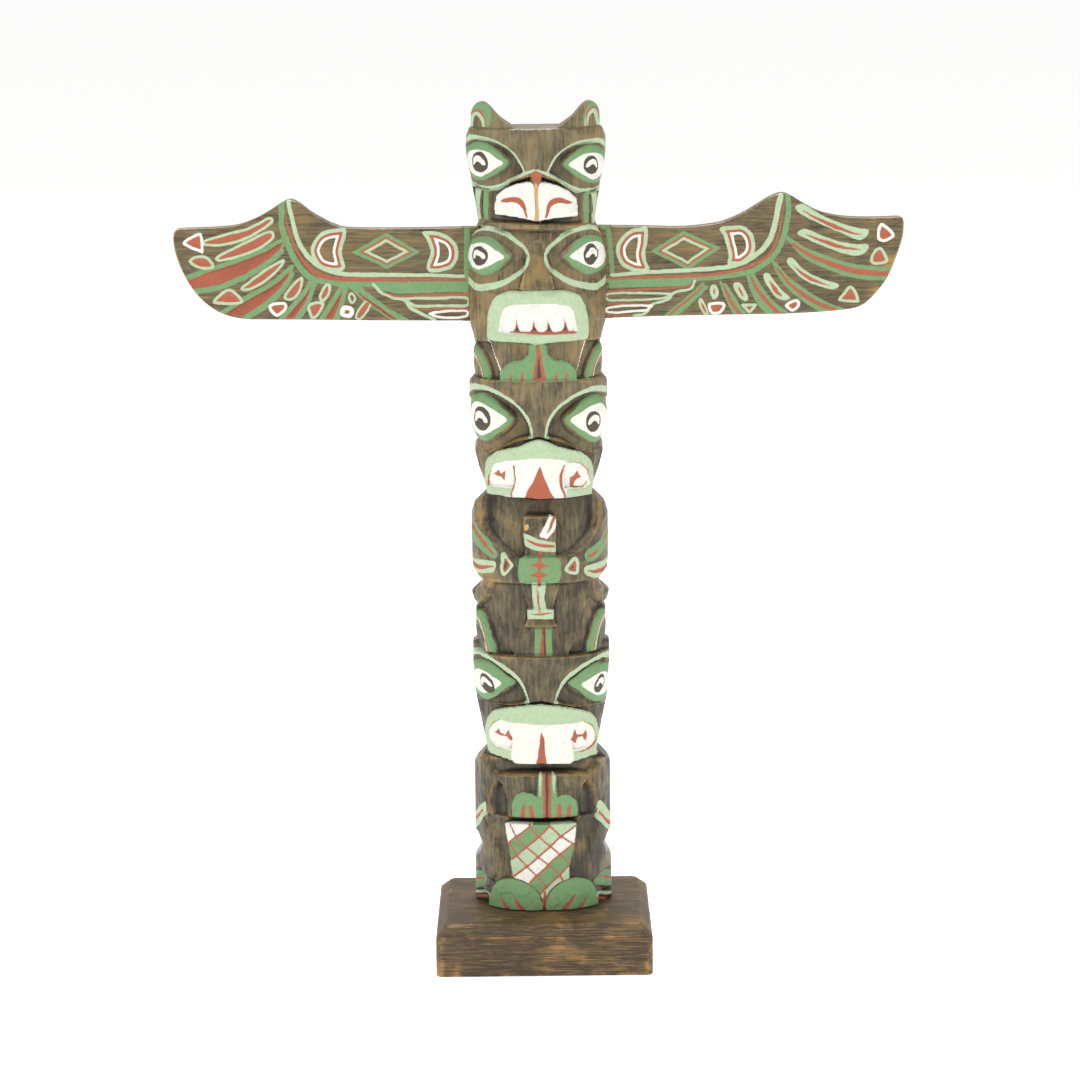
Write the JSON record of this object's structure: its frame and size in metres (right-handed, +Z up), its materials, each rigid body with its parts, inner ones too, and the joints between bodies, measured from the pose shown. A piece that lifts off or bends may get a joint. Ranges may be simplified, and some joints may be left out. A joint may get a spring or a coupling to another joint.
{
  "type": "totem pole",
  "caption": "Carved and painted wooden model totem pole of stacked animal figures, with two spread wings let into its sides, on a chamfered wooden base.",
  "frame": {"origin": "middle of the base's underside", "axes": "+Z up along the pole, the carved front faces -Y, the wings spread along X"},
  "size_m": [0.324, 0.078, 0.3882],
  "materials": {
    "painted_wood": "dark stained carved wood, painted green, red and white, satin",
    "base_wood": "dark stained wood with worn edges, satin"
  },
  "bodies": {
    "root": {"base": "base_wood", "pole": "painted_wood", "left_wing": "painted_wood", "right_wing": "painted_wood"}
  },
  "joints": []
}
